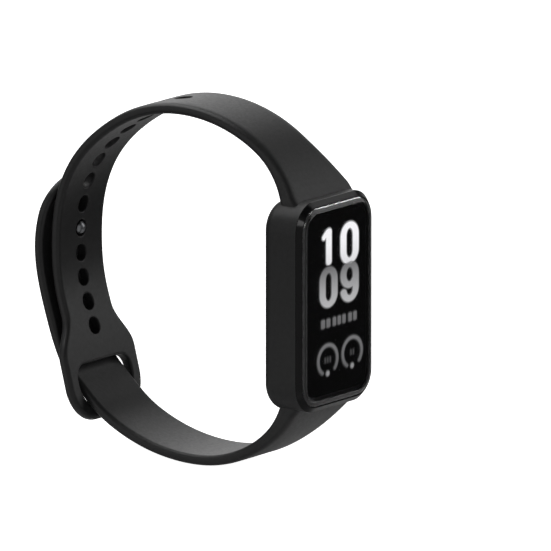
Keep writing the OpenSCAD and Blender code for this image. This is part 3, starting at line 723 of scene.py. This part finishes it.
def ui_piece(name, strokes, material, lift=0.0, **kw):
    """Lit shapes on the display: strokes are (line, width) in X-Z, mm."""
    verts, faces = [], []
    front = UI_Y - lift
    for line, width in strokes:
        a, b, closed = ribbon(line, width)
        base = len(verts)
        if closed:
            c = len(a)
            for y in (front, front + UI_T):
                verts += [(p[0], y + TRACK_Y, p[1]) for p in a]
                verts += [(p[0], y + TRACK_Y, p[1]) for p in b]
            for i in range(c):
                j = (i + 1) % c
                fa, fb, ba, bb = base, base + c, base + 2 * c, base + 3 * c
                faces += [(fa + i, fa + j, fb + j, fb + i),
                          (ba + i, bb + i, bb + j, ba + j),
                          (fa + i, ba + i, ba + j, fa + j),
                          (fb + i, fb + j, bb + j, bb + i)]
        else:
            c = len(a)
            for y in (front, front + UI_T):
                verts += [(p[0], y + TRACK_Y, p[1]) for p in a]
            faces += [tuple(base + i for i in range(c)),
                      tuple(base + c + i for i in reversed(range(c)))]
            for i in range(c):
                j = (i + 1) % c
                faces.append((base + i, base + c + i, base + c + j, base + j))
    return piece(name, verts, faces, "band", material, "display_black",
                 smooth=False, **kw)


SOFT = ((0.6, 0.12), (0.25, 0.4), (-0.12, 1.0))   # (extra width, brightness), mm


def soft_ui(name, strokes, stops, power, **kw):
    """A lit shape with a soft edge: three nested strokes, the brightest on top."""
    for k, (extra, share) in enumerate(SOFT):
        level = [(line, (wx + extra, wz + extra)) for line, (wx, wz) in strokes]
        last = k == len(SOFT) - 1
        tag = name if last else f"{name}_glow{k + 1}"
        ui_piece(tag, level, lit(tag + "_light", stops, power * share),
                 lift=k * UI_LIFT, **(kw if last else {}))


def lit(name, stops, power):
    """Light that fades along Z. stops: [(z in mm, brightness)]."""
    m = bpy.data.materials.new(name)
    m.use_nodes = True
    n, link = m.node_tree.nodes, m.node_tree.links.new
    p = n["Principled BSDF"]
    p.inputs["Base Color"].default_value = (0.02, 0.02, 0.02, 1)
    p.inputs["Roughness"].default_value = 0.6
    p.inputs["Specular IOR Level"].default_value = 0.0
    where = n.new("ShaderNodeTexCoord")
    split = n.new("ShaderNodeSeparateXYZ")
    link(where.outputs["Object"], split.inputs["Vector"])
    span = n.new("ShaderNodeMapRange")
    z0, z1 = stops[0][0], stops[-1][0]
    span.inputs["From Min"].default_value = z0 * MM
    span.inputs["From Max"].default_value = z1 * MM
    link(split.outputs["Z"], span.inputs["Value"])
    ramp = n.new("ShaderNodeValToRGB")
    cr = ramp.color_ramp
    while len(cr.elements) < len(stops):
        cr.elements.new(0.5)
    for e, (z, b) in zip(cr.elements, stops):
        e.position = (z - z0) / (z1 - z0)
        e.color = (b, b, b, 1)
    link(span.outputs["Result"], ramp.inputs["Fac"])
    link(ramp.outputs["Color"], p.inputs["Emission Color"])
    p.inputs["Emission Strength"].default_value = power
    return m


DX, DZ = 0.62, -0.14                         # where the glass shows it from


def stadium(cx, cz, hw, hh, n=16):
    r = hw
    top = arc2(cx, cz + hh - r, r, 0, 180, n)
    low = arc2(cx, cz - hh + r, r, 180, 360, n)
    return np.vstack([top, low, top[:1]])


def oval(cx, cz, rx, rz, a0, a1, n):
    return arc2(0, 0, 1, a0, a1, n) * [rx, rz] + [cx + DX, cz + DZ]


def line(*points):
    return np.array(points, float) + [DX, DZ]


STEM = (2.1, 1.32)                           # digit strokes: uprights, then crossbars
one = [(line((-5.25, 13.9), (-4.7, 14.35), (-4.15, 14.8), (-3.6, 15.0)), (1.3, 1.1)),
       (line((-3.5, 14.9), (-3.5, 11.5), (-3.5, 8.75)), (1.95, 1.32))]
zero_a = [(stadium(3.8 + DX, 11.45 + DZ, 2.17, 3.65), STEM)]
zero_b = [(stadium(-3.6 + DX, 3.65 + DZ, 2.1, 3.5), STEM)]
nine = [(np.vstack([oval(3.8, 5.05, 2.17, 2.1, -35, -360, 30),
                    oval(3.8, 2.2, 2.17, 2.05, 0, -165, 16)]), STEM)]
BAR_GAP = 0.35
bars = []
for x0, x1, count in ((-6.3, -2.9, 2), (-2.2, 2.5, 3), (3.3, 6.4, 2)):
    pitch = (x1 - x0 + BAR_GAP) / count
    for k in range(count):
        x = x0 + pitch * k + (pitch - BAR_GAP) / 2
        bars.append((line((x, -4.3), (x, -3.65), (x, -3.0)), (pitch - 0.55, 0.5)))
gauges, marks, blocks = [], [], []
for cx, cz, rest in ((-3.87, -11.1, 3), (4.75, -10.9, 2)):
    gauges.append((oval(cx, cz, 3.35, 3.0, -42, 236, 40), (0.85, 0.7)))
    marks.append((oval(cx, cz - 2.75, 0.3, 0.25, 90, -250, 14), (0.55, 0.55)))
    for k in range(rest):
        x = cx + (k - (rest - 1) / 2) * 0.85
        blocks.append((line((x, cz - 0.35), (x, cz), (x, cz + 0.35)), (0.45, 0.4)))

soft_ui("digits_upper", one + zero_a, [(7.0, 0.75), (12.0, 0.95), (16.5, 1.0)], 1.2,
        replaces=("display_adhesive",))
soft_ui("digits_lower", zero_b + nine, [(-1.2, 0.52), (3.0, 0.36), (7.6, 0.15)], 1.2)
soft_ui("date_bars", bars, [(-6.0, 0.12), (-2.0, 0.14)], 1.35)
soft_ui("gauge_rings", gauges, [(-14.5, 0.13), (-7.0, 0.22)], 1.0)
soft_ui("gauge_marks", marks, [(-15.0, 0.35), (-12.5, 0.35)], 1.0)
soft_ui("gauge_blocks", blocks, [(-12.0, 0.07), (-10.0, 0.07)], 1.0)

# ------------------------------------------------------------- camera, stage
AZ, EL = 55.51, 11.29
DIST = 4.0
PHOTO_PX, PX_PER_MM = 551, 5.0174
TRACK_PX = (318.33, 299.37)                  # where the tracker's middle shows
FIELD = PHOTO_PX / PX_PER_MM * MM
SENSOR = 36
cam_data = bpy.data.cameras.new("camera")
cam = bpy.data.objects.new("camera", cam_data)
bpy.context.scene.collection.objects.link(cam)
right_v = Vector((cosd(AZ), -sind(AZ), 0))
back_v = Vector((-sind(AZ) * cosd(EL), -cosd(AZ) * cosd(EL), sind(EL)))
up_v = back_v.cross(right_v)
centre = Vector((0, TRACK_Y * MM, 0))
shift_x, shift_y = ((v - PHOTO_PX / 2) / PX_PER_MM * MM for v in TRACK_PX)
aim = centre - right_v * shift_x + up_v * shift_y
cam.location = aim + back_v * DIST
cam.rotation_mode = "QUATERNION"
cam.rotation_quaternion = back_v.to_track_quat("Z", "Y")
cam_data.sensor_width = SENSOR
cam_data.lens = SENSOR * DIST / FIELD
cam_data.clip_end = 20
bpy.context.scene.camera = cam

floor_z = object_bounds()[0].z - 0.0002
FLOOR_HALF, NEAR_R = 6.0, 0.075              # metres


def flat_stage(name, points, material):
    """A flat stage piece that lights nothing and casts no shadow."""
    me = bpy.data.meshes.new(name)
    me.from_pydata(points, [], [tuple(range(len(points)))])
    o = bpy.data.objects.new(name, me)
    bpy.context.scene.collection.objects.link(o)
    me.materials.append(material)
    o.visible_diffuse = False
    o.visible_transmission = False
    o.visible_shadow = False
    return o


FLOOR = mat("floor_pale", (0.9, 0.9, 0.9), 0.9, specular=0.1, tint=0.01, bump=0.0,
            emission=(1, 1, 1), emission_power=1.0)
floor = flat_stage("floor", [(x * FLOOR_HALF, y * FLOOR_HALF, floor_z) for x, y in
                             ((-1, -1), (1, -1), (1, 1), (-1, 1))], FLOOR)
floor.visible_glossy = False
# The part of the floor that the gloss shows, close under the band
FLOOR_NEAR = mat("floor_dim", (0.5, 0.5, 0.5), 0.9, specular=0.1, tint=0.01, bump=0.0,
                 emission=(1, 1, 1), emission_power=0.13)
near_floor = flat_stage("floor_near", [(x, y, floor_z - 0.0001) for x, y in
                                       arc2(0, 0, NEAR_R, 0, 354, 60)], FLOOR_NEAR)
near_floor.visible_camera = False

# White to the eye; a bright backdrop beyond the band and dim elsewhere to light
world = bpy.data.worlds.new("studio")
bpy.context.scene.world = world
world.use_nodes = True
wn, wl = world.node_tree.nodes, world.node_tree.links.new
w_out = wn["World Output"]
seen = wn["Background"]
seen.inputs["Color"].default_value = (1, 1, 1, 1)
seen.inputs["Strength"].default_value = 1.0
light = wn.new("ShaderNodeBackground")
light.inputs["Color"].default_value = (1, 1, 1, 1)
w_dir = wn.new("ShaderNodeTexCoord")


def glow_from(way, near, full, dim, bright):
    """Light that rises from dim to bright as a ray's dot with `way` nears full."""
    dot = wn.new("ShaderNodeVectorMath")
    dot.operation = "DOT_PRODUCT"
    dot.inputs[1].default_value = way
    wl(w_dir.outputs["Generated"], dot.inputs[0])
    rise = wn.new("ShaderNodeMapRange")
    rise.interpolation_type = "SMOOTHSTEP"
    rise.inputs["From Min"].default_value = near
    rise.inputs["From Max"].default_value = full
    rise.inputs["To Min"].default_value = dim
    rise.inputs["To Max"].default_value = bright
    wl(dot.outputs["Value"], rise.inputs["Value"])
    return rise.outputs["Result"]


w_sum = wn.new("ShaderNodeMath")
w_sum.operation = "ADD"
wl(glow_from((0.823, 0.565, -0.05), 0.6, 0.95, 0.02, 0.45), w_sum.inputs[0])
wl(glow_from((-0.45, -0.87, -0.2), 0.45, 0.85, 0.0, 0.42), w_sum.inputs[1])
wl(w_sum.outputs["Value"], light.inputs["Strength"])
w_path = wn.new("ShaderNodeLightPath")
w_mix = wn.new("ShaderNodeMixShader")
wl(w_path.outputs["Is Camera Ray"], w_mix.inputs["Fac"])
wl(light.outputs["Background"], w_mix.inputs[1])
wl(seen.outputs["Background"], w_mix.inputs[2])
wl(w_mix.outputs["Shader"], w_out.inputs["Surface"])


def area(name, way, dist, size_x, size_y, radiance, target=(0, 0, 0)):
    """A soft box seen from the target in the direction `way`."""
    d = bpy.data.lights.new(name, "AREA")
    d.shape = "RECTANGLE"
    d.size, d.size_y = size_x, size_y
    d.energy = radiance * math.pi * size_x * size_y
    o = bpy.data.objects.new(name, d)
    bpy.context.scene.collection.objects.link(o)
    at = Vector(target) + Vector(way).normalized() * dist
    o.location = at
    o.rotation_mode = "QUATERNION"
    o.rotation_quaternion = (at - Vector(target)).to_track_quat("Z", "Y")
    o.visible_camera = False
    return o


# (name, direction, distance, width, height, radiance)
for lamp in (("top_softbox", (0.0, 0.5, 0.86), 0.8, 0.8, 0.6, 2.6),
             ("back_softbox", (0.80, 0.48, 0.34), 0.8, 0.5, 0.5, 0.85),
             ("front_softbox", (0.8, -0.65, 0.45), 1.0, 0.8, 0.8, 1.05),
             ("side_softbox", (-0.85, 0.5, 0.1), 0.9, 0.9, 0.9, 0.62)):
    area(*lamp)

# Small ones round the tracker for the glints on its glass and bezel only
GLINT_DIST = 0.8
gloss = bpy.data.collections.new("gloss_parts")
gloss.objects.link(glass)
gloss.objects.link(bezel)
glass_only = bpy.data.collections.new("glass_part")
glass_only.objects.link(glass)
for name, way, wide, tall, radiance, parts in (
        ("edge_softbox", (0.80, -0.08, 0.56), 0.34, 0.34, 11.0, glass_only),
        ("corner_softbox", (0.30, -0.52, 0.80), 0.30, 0.30, 5.0, glass_only),
        ("glint_softbox", (-0.33, -0.83, 0.40), 0.16, 0.20, 4.5, gloss),
        ("low_softbox", (-0.31, -0.72, -0.60), 0.22, 0.22, 4.0, gloss)):
    soft = area(name, way, GLINT_DIST, wide, tall, radiance, tuple(centre))
    soft.light_linking.receiver_collection = parts
bpy.context.scene.view_settings.view_transform = "Standard"
bpy.context.scene.view_settings.look = "None"
